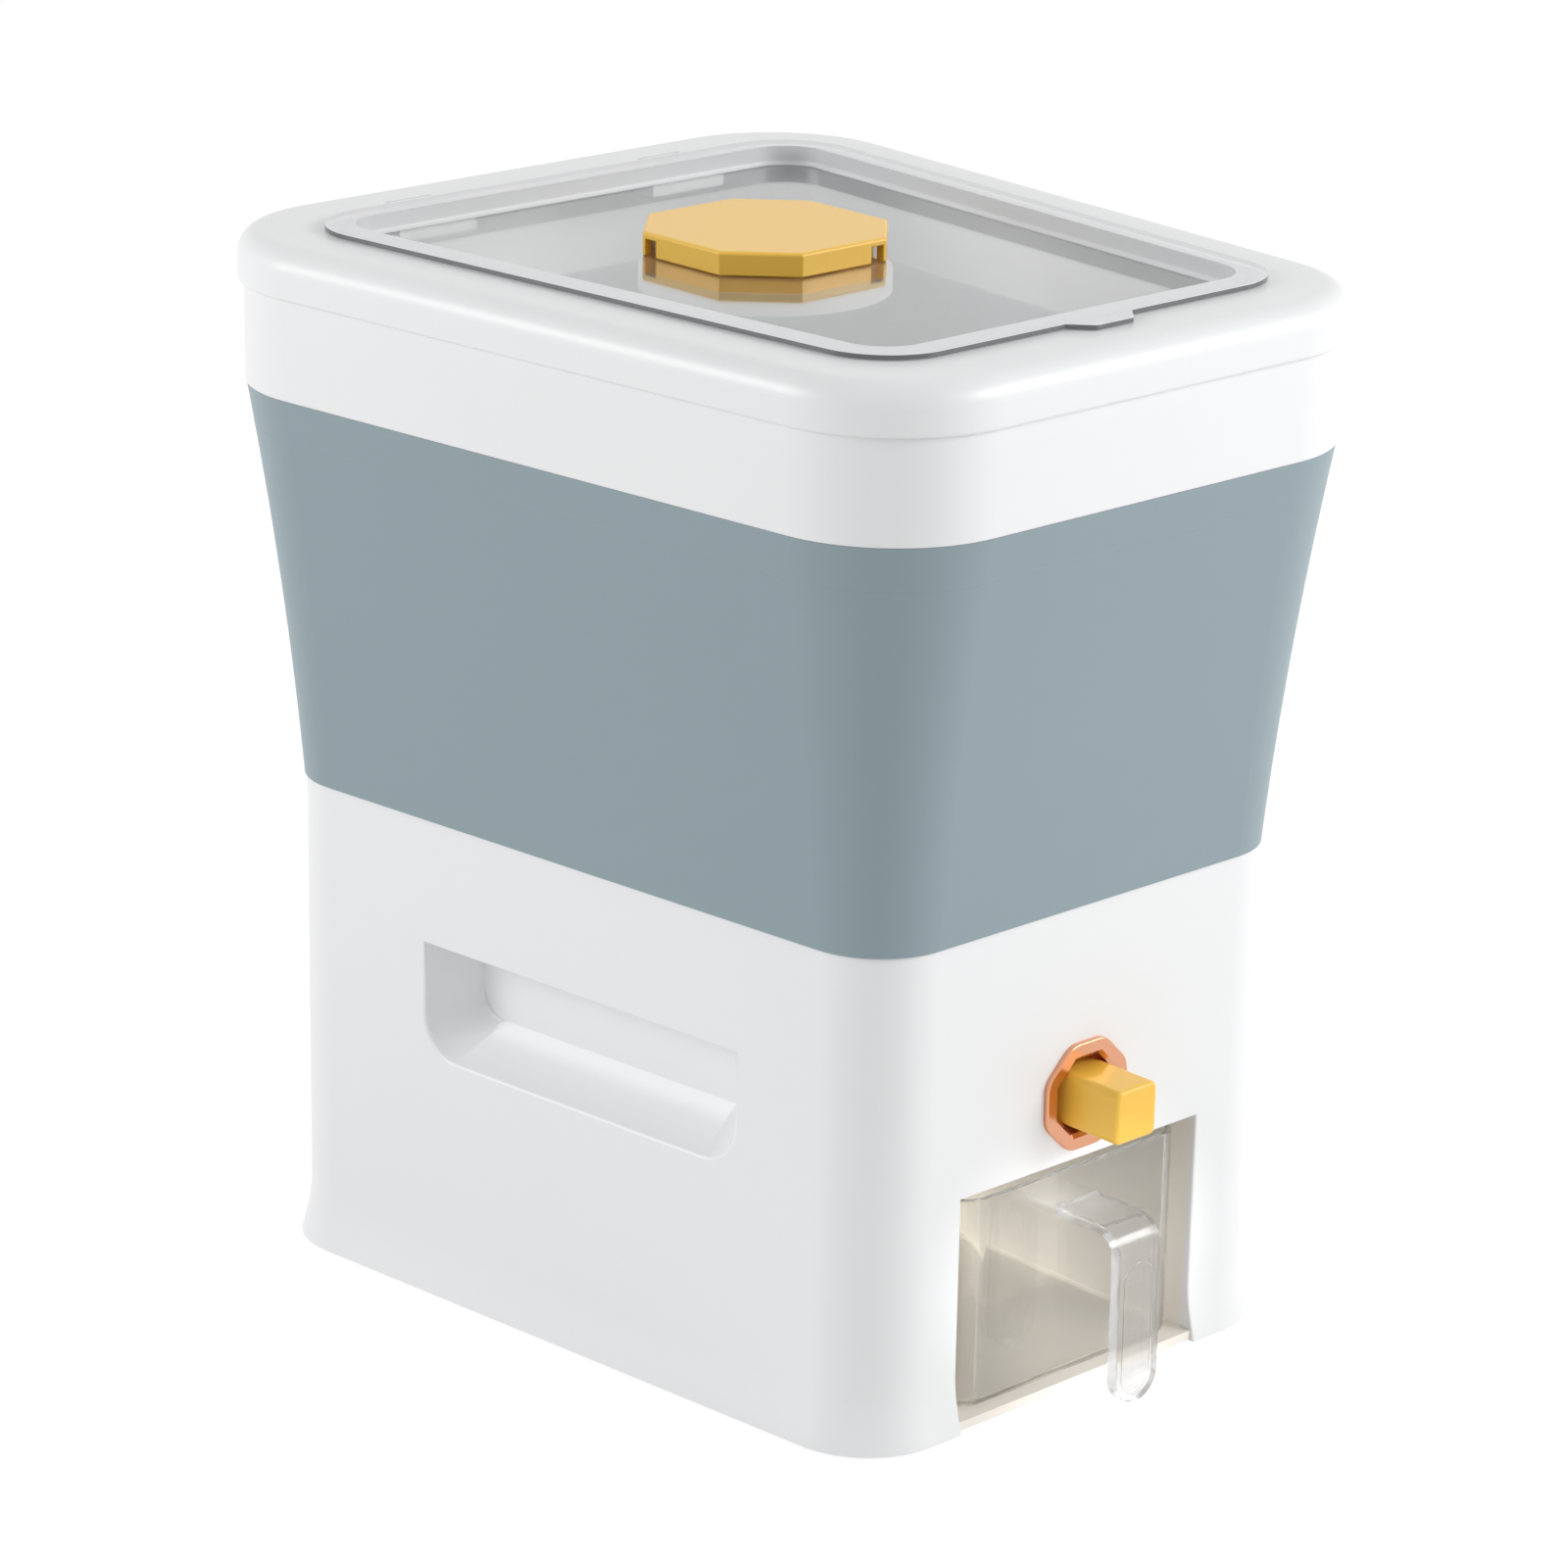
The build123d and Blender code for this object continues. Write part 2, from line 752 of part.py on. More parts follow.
def make_knob_cap():
    cap = prism(knob_outline(0), knob_bottom, knob_top)
    cap = fillet(cap.edges().group_by(Axis.Z)[-1], knob_edge_round)
    under = knob_top - knob_top_thickness
    cap -= prism(knob_outline(knob_skirt), knob_bottom, under)
    cap = Pos(0, knob_middle, 0) * cap
    for slot in knob_tab_slots():
        cap -= slot
    boss_bottom = panel_top + cap_seal_height + running_gap
    cap += post(0, knob_middle, boss_bottom, under, cap_seal_outer + cap_boss_rim)
    lug_top = box_plate_bottom - running_gap
    plug_bottom = lug_top - lug_height
    cap += post(0, knob_middle, plug_bottom, under, plug_radius)
    cap -= post(0, knob_middle, plug_bottom, under, plug_radius - plug_wall)
    for angle in (0, 180):
        root = plug_radius - plug_wall / 2
        cap += bayonet_lug(angle, root, plug_radius + lug_reach, lug_angle, plug_bottom, lug_top)
    return cap


def make_cap_seal():
    washer = ring(Circle(cap_seal_outer), Circle(cap_seal_inner), panel_top, panel_top + cap_seal_height)
    return Pos(0, knob_middle, 0) * washer


def make_sachet_box():
    box = prism(knob_outline(box_inset), box_bottom, panel_bottom)
    box -= prism(knob_outline(box_inset + box_wall), box_bottom, box_plate_bottom)
    box = Pos(0, knob_middle, 0) * box
    box -= post(0, knob_middle, box_plate_bottom, panel_bottom, plug_radius + 2 * running_gap)
    keyway = plug_radius + lug_reach + running_gap
    for angle in (twist_angle, twist_angle + 180):
        spread = lug_angle + lug_play_angle
        box -= bayonet_lug(angle, plug_radius, keyway, spread, box_plate_bottom, panel_bottom)
    return box


def make_sachet_cage():
    floor = cage_bottom + cage_wall
    roof = box_bottom - cage_wall
    cage = prism(Circle(cage_outer), cage_bottom, box_bottom)
    cage -= prism(Circle(cage_inner), floor, roof)
    cage -= prism(Circle(cage_mouth), roof, box_bottom)
    vent_reach = cage_mouth - cage_vent_margin
    half_vent = cage_vent_width / 2
    count = math.floor((vent_reach - half_vent) / cage_vent_pitch)
    for index in range(-count, count + 1):
        x = index * cage_vent_pitch
        half = math.sqrt(vent_reach**2 - (abs(x) + half_vent) ** 2)
        cage -= block(x - half_vent, x + half_vent, -half, half, cage_bottom, floor)
    return Pos(0, knob_middle, 0) * cage


# Push button, bezel and gate

def make_button_bezel():
    face_front = -half_depth - bezel_proud
    outline = octagon(bezel_opening + 2 * bezel_rim)
    outline = fillet(outline.vertices(), bezel_corner_round)
    flange = along_y(outline, face_front, -half_depth)
    flange = fillet(flange.edges().group_by(Axis.Y)[0], bezel_edge_round)
    bezel = flange + along_y(octagon(bezel_tube), -half_depth, bezel_rear)
    bezel -= along_y(octagon(bezel_opening), face_front, bezel_rear - bezel_floor)
    bevel_rear = face_front + bezel_bevel
    mouth = along_y(octagon(bezel_opening + 2 * bezel_bevel), face_front, bevel_rear)
    bezel -= chamfer(mouth.edges().group_by(Axis.Y)[-1], bezel_bevel - snug_gap)
    hole = button_size + 2 * running_gap
    return bezel - along_y(RectangleRounded(hole, hole, button_round), bezel_rear - bezel_floor, bezel_rear)


def make_bezel_retainer():
    rear = front_inside + retainer_thickness
    clip = along_y(octagon(bezel_hole + 2 * retainer_rim), front_inside, rear)
    return clip - along_y(octagon(bezel_hole), front_inside, rear)


def make_push_button():
    outline = RectangleRounded(button_size, button_size, button_round)
    button = along_y(outline, button_front, button_rear)
    button = fillet(button.edges().group_by(Axis.Y)[0], button_edge_round)
    socket = Rectangle(stem_width + 2 * seat_gap, stem_height + 2 * seat_gap)
    return button - along_y(socket, button_rear - stem_insert, button_rear)


def make_gate_slider():
    slider = block(-gate_half_width, gate_half_width, gate_front, gate_rear, gate_bottom, gate_top)
    slider += along_y(Rectangle(stem_width, gate_thickness), button_rear - gate_thickness, gate_front)
    slider += along_y(Rectangle(stem_width, stem_height), button_rear - stem_insert, button_rear)
    for slot in gate_slots(gate_bottom - overcut, gate_top + overcut, -gate_travel):
        slider -= slot
    return slider


def make_gate_housing():
    rear = housing_rear + housing_wall
    floor = housing_bottom + housing_floor
    channel_rear = gate_rear + gate_travel + running_gap
    housing = block(-housing_half, housing_half, deck_front, rear, housing_bottom, housing_top)
    housing -= block(-channel_half, channel_half, deck_front, channel_rear, floor, housing_top)
    housing -= spring_space(housing_bottom, housing_top)
    peg_radius = spring_radius - spring_wire / 2 - spring_peg_gap
    peg = Pos(0, housing_rear - spring_peg_length / 2, button_height) * Rot(90, 0, 0)
    housing += peg * Cylinder(peg_radius, spring_peg_length)
    for slot in gate_slots(housing_bottom - overcut, floor + overcut, 0):
        housing -= slot
    for x, y in gate_screw_points():
        housing -= post(x, y, housing_bottom, housing_top, screw_radius + seat_gap)
    return housing


def make_gate_screws():
    length = deck_top + gate_screw_bite - housing_bottom
    return Compound([screw(x, y, housing_bottom, length) for x, y in gate_screw_points()])


def make_gate_seal():
    outer = seal_outline(seal_width - seat_gap)
    inner = seal_outline(seat_gap)
    return ring(outer, inner, deck_bottom - seal_proud, deck_bottom + seal_thickness)


def make_chute():
    bottom = bay_height - chute_drop
    seat = bay_height + bay_wall
    walls = 2 * chute_wall
    rim = walls + 2 * chute_flange
    chute = prism(Rectangle(chute_width + walls, chute_length + walls), bottom, housing_bottom)
    chute += prism(Rectangle(chute_width + rim, chute_length + rim), seat, seat + chute_wall)
    chute -= prism(Rectangle(chute_width, chute_length), bottom, housing_bottom)
    return Pos(0, gate_middle, 0) * chute


def make_return_spring():
    """One wire wound from quarter-turn arcs, with a short straight run at each end."""
    quarters = 4 * spring_turns
    rise = (spring_length - spring_wire - 2 * seat_gap) / quarters
    start_y = gate_rear + seat_gap + spring_wire / 2

    def on_coil(quarter):
        angle = math.pi / 2 * quarter
        x = spring_radius * math.cos(angle)
        z = button_height + spring_radius * math.sin(angle)
        return Vector(x, start_y + rise * quarter, z)

    arcs = [ThreePointArc(on_coil(q), on_coil(q + 0.5), on_coil(q + 1)) for q in range(quarters)]
    lead_in = Line(on_coil(0) - arcs[0] % 0 * spring_wire, on_coil(0))
    lead_out = Line(on_coil(quarters), on_coil(quarters) + arcs[-1] % 1 * spring_wire)
    path = Wire([lead_in] + arcs + [lead_out])
    section = Plane(origin=path @ 0, z_dir=path % 0) * Circle(spring_wire / 2)
    per_quarter = 8
    samples = [on_coil(step / per_quarter) for step in range(per_quarter * quarters + 1)]
    half_turn = 2 * per_quarter
    nearest = min((a - b).length for i, a in enumerate(samples) for b in samples[i + half_turn:])
    print("least gap between turns of the spring:", round(nearest - spring_wire, 2), "mm")
    return sweep(section, path=path)


# Measuring cup and handle

def cup_outline(inset):
    """The cup's plan, moved in by inset."""
    width = 2 * (cup_half_width - inset)
    depth = cup_back - cup_front - 2 * inset
    return Pos(0, (cup_front + cup_back) / 2) * RectangleRounded(width, depth, cup_corner - inset)


def make_measuring_cup():
    cup = prism(cup_outline(0), cup_bottom, cup_top)
    cup = fillet(cup.edges().group_by(Axis.Z)[0], cup_bottom_round)
    inside = prism(cup_outline(cup_wall), cup_bottom + cup_wall, cup_top + cup_corner)
    return cup - fillet(inside.edges().group_by(Axis.Z)[0], cup_bottom_round - cup_wall)


def stadium(half, low, high):
    """Upright strap outline with a round lower end and a round upper end."""
    shape = Pos(0, (low + high) / 2) * Rectangle(2 * half, high - low)
    return shape + Pos(0, low) * Circle(half) + Pos(0, high) * Circle(half)


def make_cup_handle():
    strap_back = handle_front + handle_thickness
    arm_bottom = handle_arm_top - handle_arm_thickness
    points = [
        (cup_front, arm_bottom),
        (strap_back, arm_bottom),
        (strap_back, cup_bottom),
        (handle_front, cup_bottom),
        (handle_front, handle_arm_top),
        (cup_front, handle_arm_top),
    ]
    profile = make_face(Polyline(*points, close=True))
    for point, bend in ((4, handle_bend), (1, handle_bend - handle_thickness)):
        corner = profile.vertices().sort_by_distance(points[point])[0]
        profile = fillet(corner, bend)
    side_plane = Plane(origin=(-handle_width / 2, 0, 0), x_dir=(0, 1, 0), z_dir=(1, 0, 0))
    handle = extrude(side_plane * profile, amount=handle_width, dir=(1, 0, 0))
    front_plane = Plane(origin=(0, handle_front - overcut, 0), x_dir=(1, 0, 0), z_dir=(0, -1, 0))
    end_radius = handle_width / 2
    tip = cup_bottom + end_radius
    strap = stadium(end_radius, tip, handle_arm_top + handle_width)
    handle &= extrude(front_plane * strap, amount=handle_front - overcut - cup_front - overcut)
    channel = stadium(end_radius - handle_rim, tip, handle_arm_top - handle_bend - end_radius)
    return handle - extrude(front_plane * channel, amount=-overcut - handle_channel)


os.makedirs("parts", exist_ok=True)
save("base_shell", make_base_shell())
save("bay_liner", make_bay_liner())
save("bottom_plate", make_bottom_plate())
save("rubber_feet", make_rubber_feet())
save("bottom_screws", make_bottom_screws())
save("hopper", make_hopper())
save("funnel", make_funnel())
save("collar", make_collar())
save("top_frame", make_top_frame())
save("frame_gasket", make_frame_gasket())
save("lid_gasket", make_lid_gasket())
save("hinge_pins", make_hinge_pins())
save("clear_lid", make_clear_lid())
save("hinge_leaves", make_hinge_leaves())
save("knob_cap", make_knob_cap())
save("cap_seal", make_cap_seal())
save("sachet_box", make_sachet_box())
save("sachet_cage", make_sachet_cage())
save("button_bezel", make_button_bezel())
save("bezel_retainer", make_bezel_retainer())
save("push_button", make_push_button())
save("gate_slider", make_gate_slider())
save("gate_housing", make_gate_housing())
save("gate_seal", make_gate_seal())
save("gate_screws", make_gate_screws())
save("chute", make_chute())
save("return_spring", make_return_spring())
save("measuring_cup", make_measuring_cup())
save("cup_handle", make_cup_handle())
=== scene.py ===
import math

import bmesh
import bpy
from mathutils import Matrix, Vector


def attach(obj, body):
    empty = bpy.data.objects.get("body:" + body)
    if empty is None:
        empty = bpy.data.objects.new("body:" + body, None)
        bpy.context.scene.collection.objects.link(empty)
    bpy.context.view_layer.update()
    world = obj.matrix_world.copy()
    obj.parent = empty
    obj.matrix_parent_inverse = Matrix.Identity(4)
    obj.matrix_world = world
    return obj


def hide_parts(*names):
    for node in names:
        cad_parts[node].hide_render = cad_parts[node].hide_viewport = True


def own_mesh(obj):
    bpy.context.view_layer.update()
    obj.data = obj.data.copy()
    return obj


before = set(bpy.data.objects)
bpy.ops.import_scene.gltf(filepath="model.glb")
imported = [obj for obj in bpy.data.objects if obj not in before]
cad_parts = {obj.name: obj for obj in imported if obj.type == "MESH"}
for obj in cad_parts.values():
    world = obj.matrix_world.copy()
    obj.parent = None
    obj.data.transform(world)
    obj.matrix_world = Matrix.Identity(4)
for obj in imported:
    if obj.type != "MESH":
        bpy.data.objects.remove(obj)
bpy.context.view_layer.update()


# Base shell: the white lower housing, one deep injection moulding in satin ABS.
# It has a flared foot, the mouth of the cup bay in front and a finger pocket in
# each side, whose edges are softly rounded where a hand takes hold.
MM = 0.001


class Value:
    """A socket of a finish, so that maths on it reads as maths."""

    def __init__(self, finish, socket):
        self.finish = finish
        self.socket = socket

    def out(self, name):
        """Another output of the node that this one comes from."""
        return Value(self.finish, self.socket.node.outputs[name])

    def maths(self, operation, first, second):
        """A Math node on two values or numbers."""
        return self.finish.node("ShaderNodeMath", {"operation": operation}, {0: first, 1: second})

    def __add__(self, other):
        return self.maths("ADD", self, other)

    def __radd__(self, other):
        return self.maths("ADD", other, self)

    def __sub__(self, other):
        return self.maths("SUBTRACT", self, other)

    def __rsub__(self, other):
        return self.maths("SUBTRACT", other, self)

    def __mul__(self, other):
        return self.maths("MULTIPLY", self, other)

    def __rmul__(self, other):
        return self.maths("MULTIPLY", other, self)


mix_share, mix_first, mix_second, mix_result = 0, 6, 7, 2


class Finish:
    """The nodes of one material, or of the world."""

    def __init__(self, owner):
        owner.use_nodes = True
        self.owner = owner
        self.tree = owner.node_tree
        self.tree.nodes.clear()

    def node(self, kind, settings, sockets):
        """Any node, with its settings, and then the values or links of its sockets."""
        made = self.tree.nodes.new(kind)
        for name, value in settings.items():
            setattr(made, name, value)
        for name, value in sockets.items():
            if isinstance(value, Value):
                self.tree.links.new(value.socket, made.inputs[name])
            else:
                made.inputs[name].default_value = value
        return Value(self, made.outputs[0]) if made.outputs else None

    def mixed(self, share, first, second):
        """One colour that turns into another as share goes from 0 to 1."""
        colours = {mix_share: share, mix_first: (*first, 1), mix_second: (*second, 1)}
        return self.node("ShaderNodeMix", {"data_type": "RGBA"}, colours).out(mix_result)

    def noise(self, scale, detail):
        """Cloudy marks over the piece, about 1 / scale metres apart."""
        place = self.node("ShaderNodeTexCoord", {}, {}).out("Object")
        return self.node("ShaderNodeTexNoise", {}, {
            "Vector": place, "Scale": scale, "Detail": detail,
        })

    def surface(self, shader):
        """Ends the nodes in their output, and gives back the finished material or world."""
        of_world = isinstance(self.owner, bpy.types.World)
        output = "ShaderNodeOutputWorld" if of_world else "ShaderNodeOutputMaterial"
        self.node(output, {}, {"Surface": shader})
        return self.owner


noise_middle = 0.5
flow_scale = 9.0
flow_detail = 3.0
flow_gloss = 0.08
grain_detail = 2.0
grain_strength = 0.3
plastic_index = 1.5


def moulded(name, pale, deep, rough, grain, depth, cover=1.0):
    """Moulded plastic: slow flow marks in colour and gloss, and the fine grain of the mould."""
    finish = Finish(bpy.data.materials.new(name))
    flow = finish.noise(flow_scale, flow_detail)
    skin = finish.noise(grain, grain_detail)
    relief = finish.node("ShaderNodeBump", {}, {
        "Strength": grain_strength, "Distance": depth, "Height": skin,
    })
    return finish.surface(finish.node("ShaderNodeBsdfPrincipled", {}, {
        "Base Color": finish.mixed(flow, deep, pale),
        "Roughness": rough + (flow - noise_middle) * flow_gloss,
        "Normal": relief,
        "IOR": plastic_index,
        "Alpha": cover,
    }))


def dress(node, material):
    """Gives a CAD piece its finish."""
    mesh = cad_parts[node].data
    mesh.materials.clear()
    mesh.materials.append(material)


merge_gap = 0.001 * MM
flat_angle = math.radians(0.3)
hard_angle = math.radians(30)
crease_angle = math.radians(40)
round_segments = 3


def softened(node, body, material, rounds):
    """A CAD piece drawn again with its hard edges rounded, shown in place of the plain solid."""
    shape = bmesh.new()
    shape.from_mesh(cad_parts[node].data)
    bmesh.ops.remove_doubles(shape, verts=shape.verts, dist=merge_gap)
    bmesh.ops.dissolve_limit(
        shape, angle_limit=flat_angle, verts=shape.verts, edges=shape.edges,
    )
    for width, chosen in rounds:
        hard = [
            edge for edge in shape.edges
            if edge.calc_face_angle(0) > hard_angle and chosen(edge)
        ]
        bmesh.ops.bevel(
            shape, geom=hard, offset=width, affect="EDGES", segments=round_segments,
            profile=0.5, material=-1, clamp_overlap=True,
        )
    mesh = bpy.data.meshes.new(node + "_soft")
    shape.to_mesh(mesh)
    shape.free()
    mesh.materials.append(material)
    mesh.shade_smooth()
    mesh.set_sharp_from_angle(angle=crease_angle)
    piece = bpy.data.objects.new(node + "_soft", mesh)
    bpy.context.collection.objects.link(piece)
    even = piece.modifiers.new("even_normals", "WEIGHTED_NORMAL")
    even.keep_sharp = True
    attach(piece, body)
    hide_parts(node)
    return piece


white_abs = moulded(
    "white_abs", pale=(0.88, 0.885, 0.89), deep=(0.86, 0.865, 0.875),
    rough=0.34, grain=900, depth=0.03 * MM,
)
side_middle = Vector((103.5, 3.55, 0)) * MM
side_slope = 0.0896
side_slack = 0.3 * MM
pocket_low, pocket_high = 82 * MM, 125 * MM
pocket_round = 2.4 * MM
front_wall = -130.2 * MM
bay_reach = 60 * MM
bay_round = 0.7 * MM


def on_pocket_mouth(edge):
    """Whether an edge lies on the outside of a side wall, round a finger pocket."""
    for corner in edge.verts:
        x, y, z = corner.co
        wall = side_middle.x + side_slope * (y - side_middle.y)
        if abs(x) < wall - side_slack or not pocket_low < z < pocket_high:
            return False
    return True


def on_bay_mouth(edge):
    """Whether an edge lies on the front wall, round the cup bay."""
    return all(
        corner.co.y < front_wall and abs(corner.co.x) < bay_reach for corner in edge.verts
    )


softened("base_shell", "body", white_abs, [
    (pocket_round, on_pocket_mouth),
    (bay_round, on_bay_mouth),
])


# Bay liner and bottom: a box of the base's white that the cup stands in, tinted warm as
# painted light and shade for the warm bounce inside the bay, and a plate
# under the base, held by four zinc-plated screws and standing on rubber pads.
# Painted light: the liner's warm tint stands in for the warm bounce light and shade inside the
# bay.
bounce_tinted_white = moulded(
    "bounce_tinted_white_abs", pale=(0.91, 0.865, 0.80), deep=(0.89, 0.845, 0.78),
    rough=0.4, grain=900, depth=0.03 * MM,
)
dress("bay_liner", bounce_tinted_white)
dress("bottom_plate", white_abs)
rubber = moulded(
    "grey_rubber", pale=(0.10, 0.10, 0.105), deep=(0.08, 0.08, 0.085),
    rough=0.75, grain=900, depth=0.05 * MM,
)
dress("rubber_feet", rubber)
cloud_scale = 60.0
cloud_detail = 3.0
cloud_gloss = 0.06


def metal(name, pale, deep, rough):
    """Plated metal: a faint cloudiness in colour and gloss."""
    finish = Finish(bpy.data.materials.new(name))
    cloud = finish.noise(cloud_scale, cloud_detail)
    return finish.surface(finish.node("ShaderNodeBsdfPrincipled", {}, {
        "Base Color": finish.mixed(cloud, deep, pale),
        "Metallic": 1.0,
        "Roughness": rough + (cloud - noise_middle) * cloud_gloss,
    }))


zinc_steel = metal("zinc_steel", pale=(0.64, 0.65, 0.67), deep=(0.58, 0.59, 0.61), rough=0.33)
dress("bottom_screws", zinc_steel)


# Hopper and funnel: the grey-blue flared bin and its sloped floor, in
# polypropylene with a fine satin texture, set on the base's upper edge.
blue_pp = moulded(
    "blue_pp", pale=(0.276, 0.355, 0.388), deep=(0.264, 0.34, 0.371),
    rough=0.42, grain=1400, depth=0.04 * MM,
)
dress("hopper", blue_pp)
dress("funnel", blue_pp)


# Gate: a slotted slider in a white housing under the funnel, with its silicone
# seal and screws, and the chute that leads down to the cup. A steel return spring
# behind the slider shortens as the button is pressed.
for gate_piece in ("gate_slider", "gate_housing", "chute"):
    dress(gate_piece, white_abs)
silicone = moulded(
    "pale_silicone", pale=(0.75, 0.76, 0.77), deep=(0.70, 0.71, 0.72),
    rough=0.6, grain=900, depth=0.03 * MM,
)
dress("gate_seal", silicone)
dress("gate_screws", zinc_steel)
spring = softened("return_spring", "body", zinc_steel, [])
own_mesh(spring)


# Push button and bezel: a glossy yellow ABS button that slides in a copper-plated
# octagonal ring, which a plain clip holds from behind the front wall.
yellow_abs = moulded(
    "yellow_abs", pale=(0.97, 0.585, 0.08), deep=(0.945, 0.56, 0.07),
    rough=0.28, grain=700, depth=0.02 * MM,
)
dress("push_button", yellow_abs)
copper_plate = metal(
    "copper_plate", pale=(0.76, 0.378, 0.235), deep=(0.73, 0.352, 0.206), rough=0.2,
)
dress("button_bezel", copper_plate)
dress("bezel_retainer", white_abs)


# Collar and frame: the white band round the bin's mouth and the rounded rim on
# it, two satin ABS mouldings with silicone gaskets between them and under the lid.
dress("collar", white_abs)
dress("top_frame", white_abs)
dress("frame_gasket", silicone)
dress("lid_gasket", silicone)


# Clear lid: a transparent tray with a polished panel, a flange and wall frosted white,
# a part-opaque cover that paints in as light the brightness of the white frame seen
# through them, and a finger tab. Its outer edge is painted an opaque dark grey, painted
# shade for the dark look that light gives the edge of thick clear plastic. White hinge
# leaves, bonded under the back of the flange, turn on steel pins in the frame.
haze_scale = 40.0
haze_detail = 3.0
haze_gloss = 0.02


def clear_plastic(name, tint, rough, index, straight):
    """Clear moulded plastic that lets light, and a share of what is seen, straight through."""
    finish = Finish(bpy.data.materials.new(name))
    haze = finish.noise(haze_scale, haze_detail)
    glass = finish.node("ShaderNodeBsdfPrincipled", {}, {
        "Base Color": (*tint, 1),
        "Roughness": rough + haze * haze_gloss,
        "IOR": index,
        "Transmission Weight": 1.0,
    })
    clear = finish.node("ShaderNodeBsdfTransparent", {}, {"Color": (*tint, 1)})
    path = finish.node("ShaderNodeLightPath", {}, {})
    lamplight = path.maths("MAXIMUM", path.out("Is Shadow Ray"), path.out("Is Diffuse Ray"))
    passing = path.maths("MAXIMUM", lamplight, straight)
    return finish.surface(finish.node("ShaderNodeMixShader", {}, {0: passing, 1: glass, 2: clear}))


def on_any_edge(edge):
    """Takes every hard edge of a piece."""
    return True


lid_clear = clear_plastic(
    "lid_clear", tint=(0.98, 0.982, 0.978), rough=0.01, index=1.62, straight=0.0,
)
lid_round = 0.55 * MM
lid = softened("clear_lid", "lid", lid_clear, [(lid_round, on_any_edge)])
# Painted shade: the outer edge faces are an opaque dark grey, for the dark look that light gives
# the edge of clear plastic.
lid_edge_painted_shade = moulded(
    "lid_edge_painted_shade", pale=(0.16, 0.165, 0.17), deep=(0.13, 0.135, 0.14),
    rough=0.2, grain=900, depth=0.01 * MM,
)
# Painted light: the flange and wall get a part-opaque white cover, for the brightness of the white
# frame seen through the clear plastic.
lid_side_painted_light = moulded(
    "lid_side_painted_light", pale=(0.93, 0.935, 0.95), deep=(0.91, 0.915, 0.93),
    rough=0.22, grain=900, depth=0.01 * MM, cover=0.8,
)
lid_under = clear_plastic(
    "lid_under", tint=(0.99, 0.99, 0.99), rough=0.02, index=1.3, straight=0.85,
)
for lid_finish in (lid_edge_painted_shade, lid_side_painted_light, lid_under):
    lid.data.materials.append(lid_finish)
painted_shade_edge_slot, painted_light_slot, under_slot = 1, 2, 3
panel_high = 346.0 * MM
flange_low = 350.3 * MM
upright_below = 0.2
level_above = 0.999
tilt = 0.1
for face in lid.data.polygons:
    centre, normal = face.center, face.normal
    outward = normal.x * centre.x + normal.y * centre.y > 0
    if centre.z > flange_low and abs(normal.z) < upright_below and outward:
        face.material_index = painted_shade_edge_slot
    elif centre.z > panel_high or abs(normal.z) < level_above:
        inside_or_up = normal.z > tilt or not outward
        shown_above = inside_or_up and normal.z > -tilt
        face.material_index = painted_light_slot if shown_above else under_slot
dress("hinge_leaves", white_abs)
dress("hinge_pins", zinc_steel)


# Knob cap: the yellow octagonal lid of the sachet box, which twists in a bayonet
# on a silicone washer. The box under the clear panel is the knob's yellow darkened to
# amber as painted shade, and a frosted drum with vents, its white darkened to mid grey
# as painted shade, hangs from it.
knob_round = 0.5 * MM
softened("knob_cap", "knob", yellow_abs, [(knob_round, on_any_edge)])
dress("cap_seal", silicone)
# Painted shade: the box is the knob's yellow darkened to amber, for the shadow it sits in under
# the knob.
shaded_yellow_abs = moulded(
    "shaded_yellow_abs", pale=(0.68, 0.39, 0.17), deep=(0.65, 0.37, 0.155),
    rough=0.35, grain=700, depth=0.02 * MM,
)
dress("sachet_box", shaded_yellow_abs)
# Painted shade: the drum's white is darkened to mid grey, for the shade it hangs in under the lid
# and the knob.
shaded_frosted_pp = moulded(
    "shaded_frosted_pp", pale=(0.50, 0.51, 0.50), deep=(0.47, 0.48, 0.47),
    rough=0.5, grain=900, depth=0.03 * MM,
)
dress("sachet_cage", shaded_frosted_pp)


# Measuring cup: a clear polystyrene cup with a strap handle welded to its front,
# its edges rounded by the mould.
cup_clear = clear_plastic(
    "cup_clear", tint=(0.99, 0.987, 0.975), rough=0.01, index=1.49, straight=0.2,
)
cup_round = 0.4 * MM
softened("measuring_cup", "cup", cup_clear, [(cup_round, on_any_edge)])
handle_clear = clear_plastic(
    "handle_clear", tint=(0.985, 0.985, 0.985), rough=0.12, index=1.49, straight=0.2,
)
handle_round = 0.9 * MM
softened("cup_handle", "cup", handle_clear, [(handle_round, on_any_edge)])


# Floor and surroundings: white paper, and white walls far off, as in a catalogue.
# They show white to the eye, in mirrors and through clear plastic, and the paper
# keeps a share of the object's shadow.
def looked_at(finish):
    """1 on the rays that bring what is seen: straight, mirrored or through clear plastic."""
    ray = finish.node("ShaderNodeLightPath", {}, {})
    mirrored = ray.maths("MAXIMUM", ray.out("Is Camera Ray"), ray.out("Is Glossy Ray"))
    return ray.maths("MAXIMUM", mirrored, ray.out("Is Transmission Ray"))


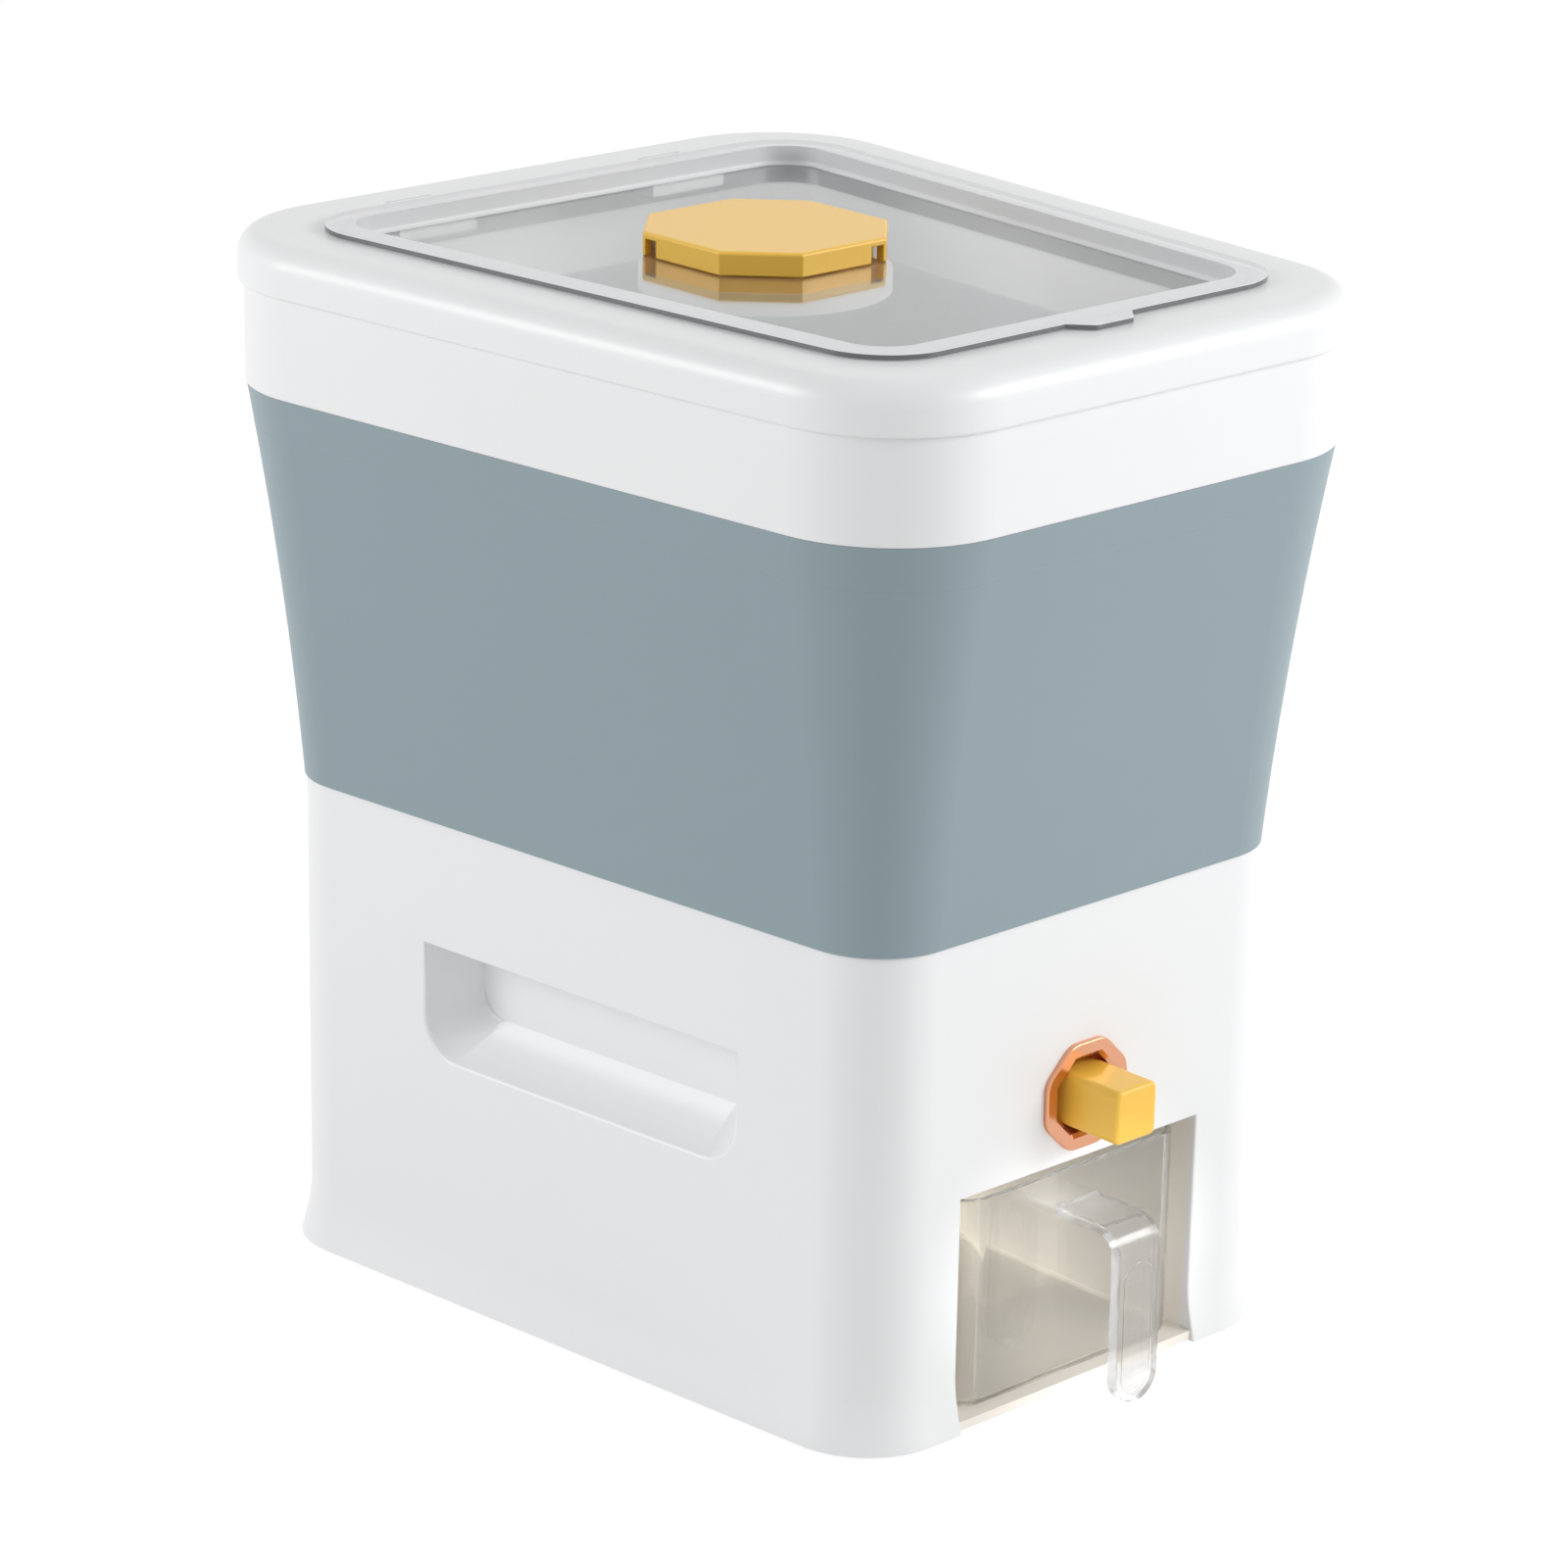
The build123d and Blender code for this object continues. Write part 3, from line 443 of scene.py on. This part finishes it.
floor_reach = 8.0
sheet = bmesh.new()
bmesh.ops.create_grid(sheet, x_segments=1, y_segments=1, size=floor_reach)
floor_mesh = bpy.data.meshes.new("floor")
sheet.to_mesh(floor_mesh)
sheet.free()
floor = bpy.data.objects.new("floor", floor_mesh)
bpy.context.collection.objects.link(floor)
pure_white = (1, 1, 1, 1)
paper_white = (0.85, 0.85, 0.85, 1)
paper_glow = 1.18
glow_share = 0.75
paper = Finish(bpy.data.materials.new("paper"))
shadowless = looked_at(paper) * glow_share
matte = paper.node("ShaderNodeBsdfDiffuse", {}, {"Color": paper_white})
glow = paper.node("ShaderNodeEmission", {}, {"Color": pure_white, "Strength": paper_glow})
floor_mesh.materials.append(
    paper.surface(paper.node("ShaderNodeMixShader", {}, {0: shadowless, 1: matte, 2: glow}))
)

wall_light = 0.55
wall_white = 1.0
world = bpy.data.worlds.new("studio")
bpy.context.scene.world = world
air = Finish(world)
ambient = air.node("ShaderNodeBackground", {}, {"Color": pure_white, "Strength": wall_light})
white = air.node("ShaderNodeBackground", {}, {"Color": pure_white, "Strength": wall_white})
air.surface(air.node("ShaderNodeMixShader", {}, {0: looked_at(air), 1: ambient, 2: white}))


# Lamps: three round softboxes, one at the left towards the back and two in front
# towards the right, and a narrow spot lamp that lights the cup bay.
def aimed(name, lamp, target, direction, distance):
    """Hangs a lamp in a direction from the point that it lights, turned towards it."""
    holder = bpy.data.objects.new(name, lamp)
    bpy.context.collection.objects.link(holder)
    away = Vector(direction).normalized()
    holder.location = target + away * distance
    holder.rotation_mode = "QUATERNION"
    holder.rotation_quaternion = away.to_track_quat("Z", "Y")


object_middle = Vector((0, 0, 0.18))
softbox_distance = 2.2
softbox_size = 1.0
for softbox_name, softbox_direction, softbox_power in (
    ("left_rear", (-1.0, 0.6, 0.4), 16.0),
    ("front_right", (0.6, -1.0, 0.55), 16.0),
    ("right", (1.4, -1.0, 0.7), 8.9),
):
    softbox = bpy.data.lights.new(softbox_name, "AREA")
    softbox.shape = "DISK"
    softbox.size = softbox_size
    softbox.energy = softbox_power
    aimed(softbox_name, softbox, object_middle, softbox_direction, softbox_distance)

bay_mouth = Vector((0, -0.1305, 0.041))
snoot_direction = (-0.62, -1.0, 0.34)
snoot_distance = 1.5
snoot = bpy.data.lights.new("bay_snoot", "SPOT")
snoot.energy = 150
snoot.spot_size = math.radians(2.9)
snoot.spot_blend = 0.7
snoot.shadow_soft_size = 0.03
aimed("bay_snoot", snoot, bay_mouth, snoot_direction, snoot_distance)


# Camera: a long lens where the photograph was taken from, about 43 degrees round
# to the left of the front and 19 degrees up, fitted to the object's outline.
azimuth = math.radians(-43.211)
elevation = math.radians(18.789)
roll = math.radians(1.079)
view_middle = Vector((-0.006355, 0.00355, 0.171224))
view_distance = 1.737756
back = Vector((
    math.sin(azimuth) * math.cos(elevation),
    -math.cos(azimuth) * math.cos(elevation),
    math.sin(elevation),
))
level = Vector((math.cos(azimuth), math.sin(azimuth), 0))
upright = back.cross(level)
right = math.cos(roll) * level + math.sin(roll) * upright
up = math.cos(roll) * upright - math.sin(roll) * level
eye = view_middle + back * view_distance
lens = bpy.data.cameras.new("photograph")
lens.sensor_width = 36.0
lens.lens = 121.645
lens.clip_start = 0.05
lens.clip_end = 50
camera = bpy.data.objects.new("photograph", lens)
camera.matrix_world = Matrix((
    (right.x, up.x, back.x, eye.x),
    (right.y, up.y, back.y, eye.y),
    (right.z, up.z, back.z, eye.z),
    (0, 0, 0, 1),
))
bpy.context.collection.objects.link(camera)
bpy.context.scene.camera = camera
bpy.context.scene.view_settings.view_transform = "Standard"
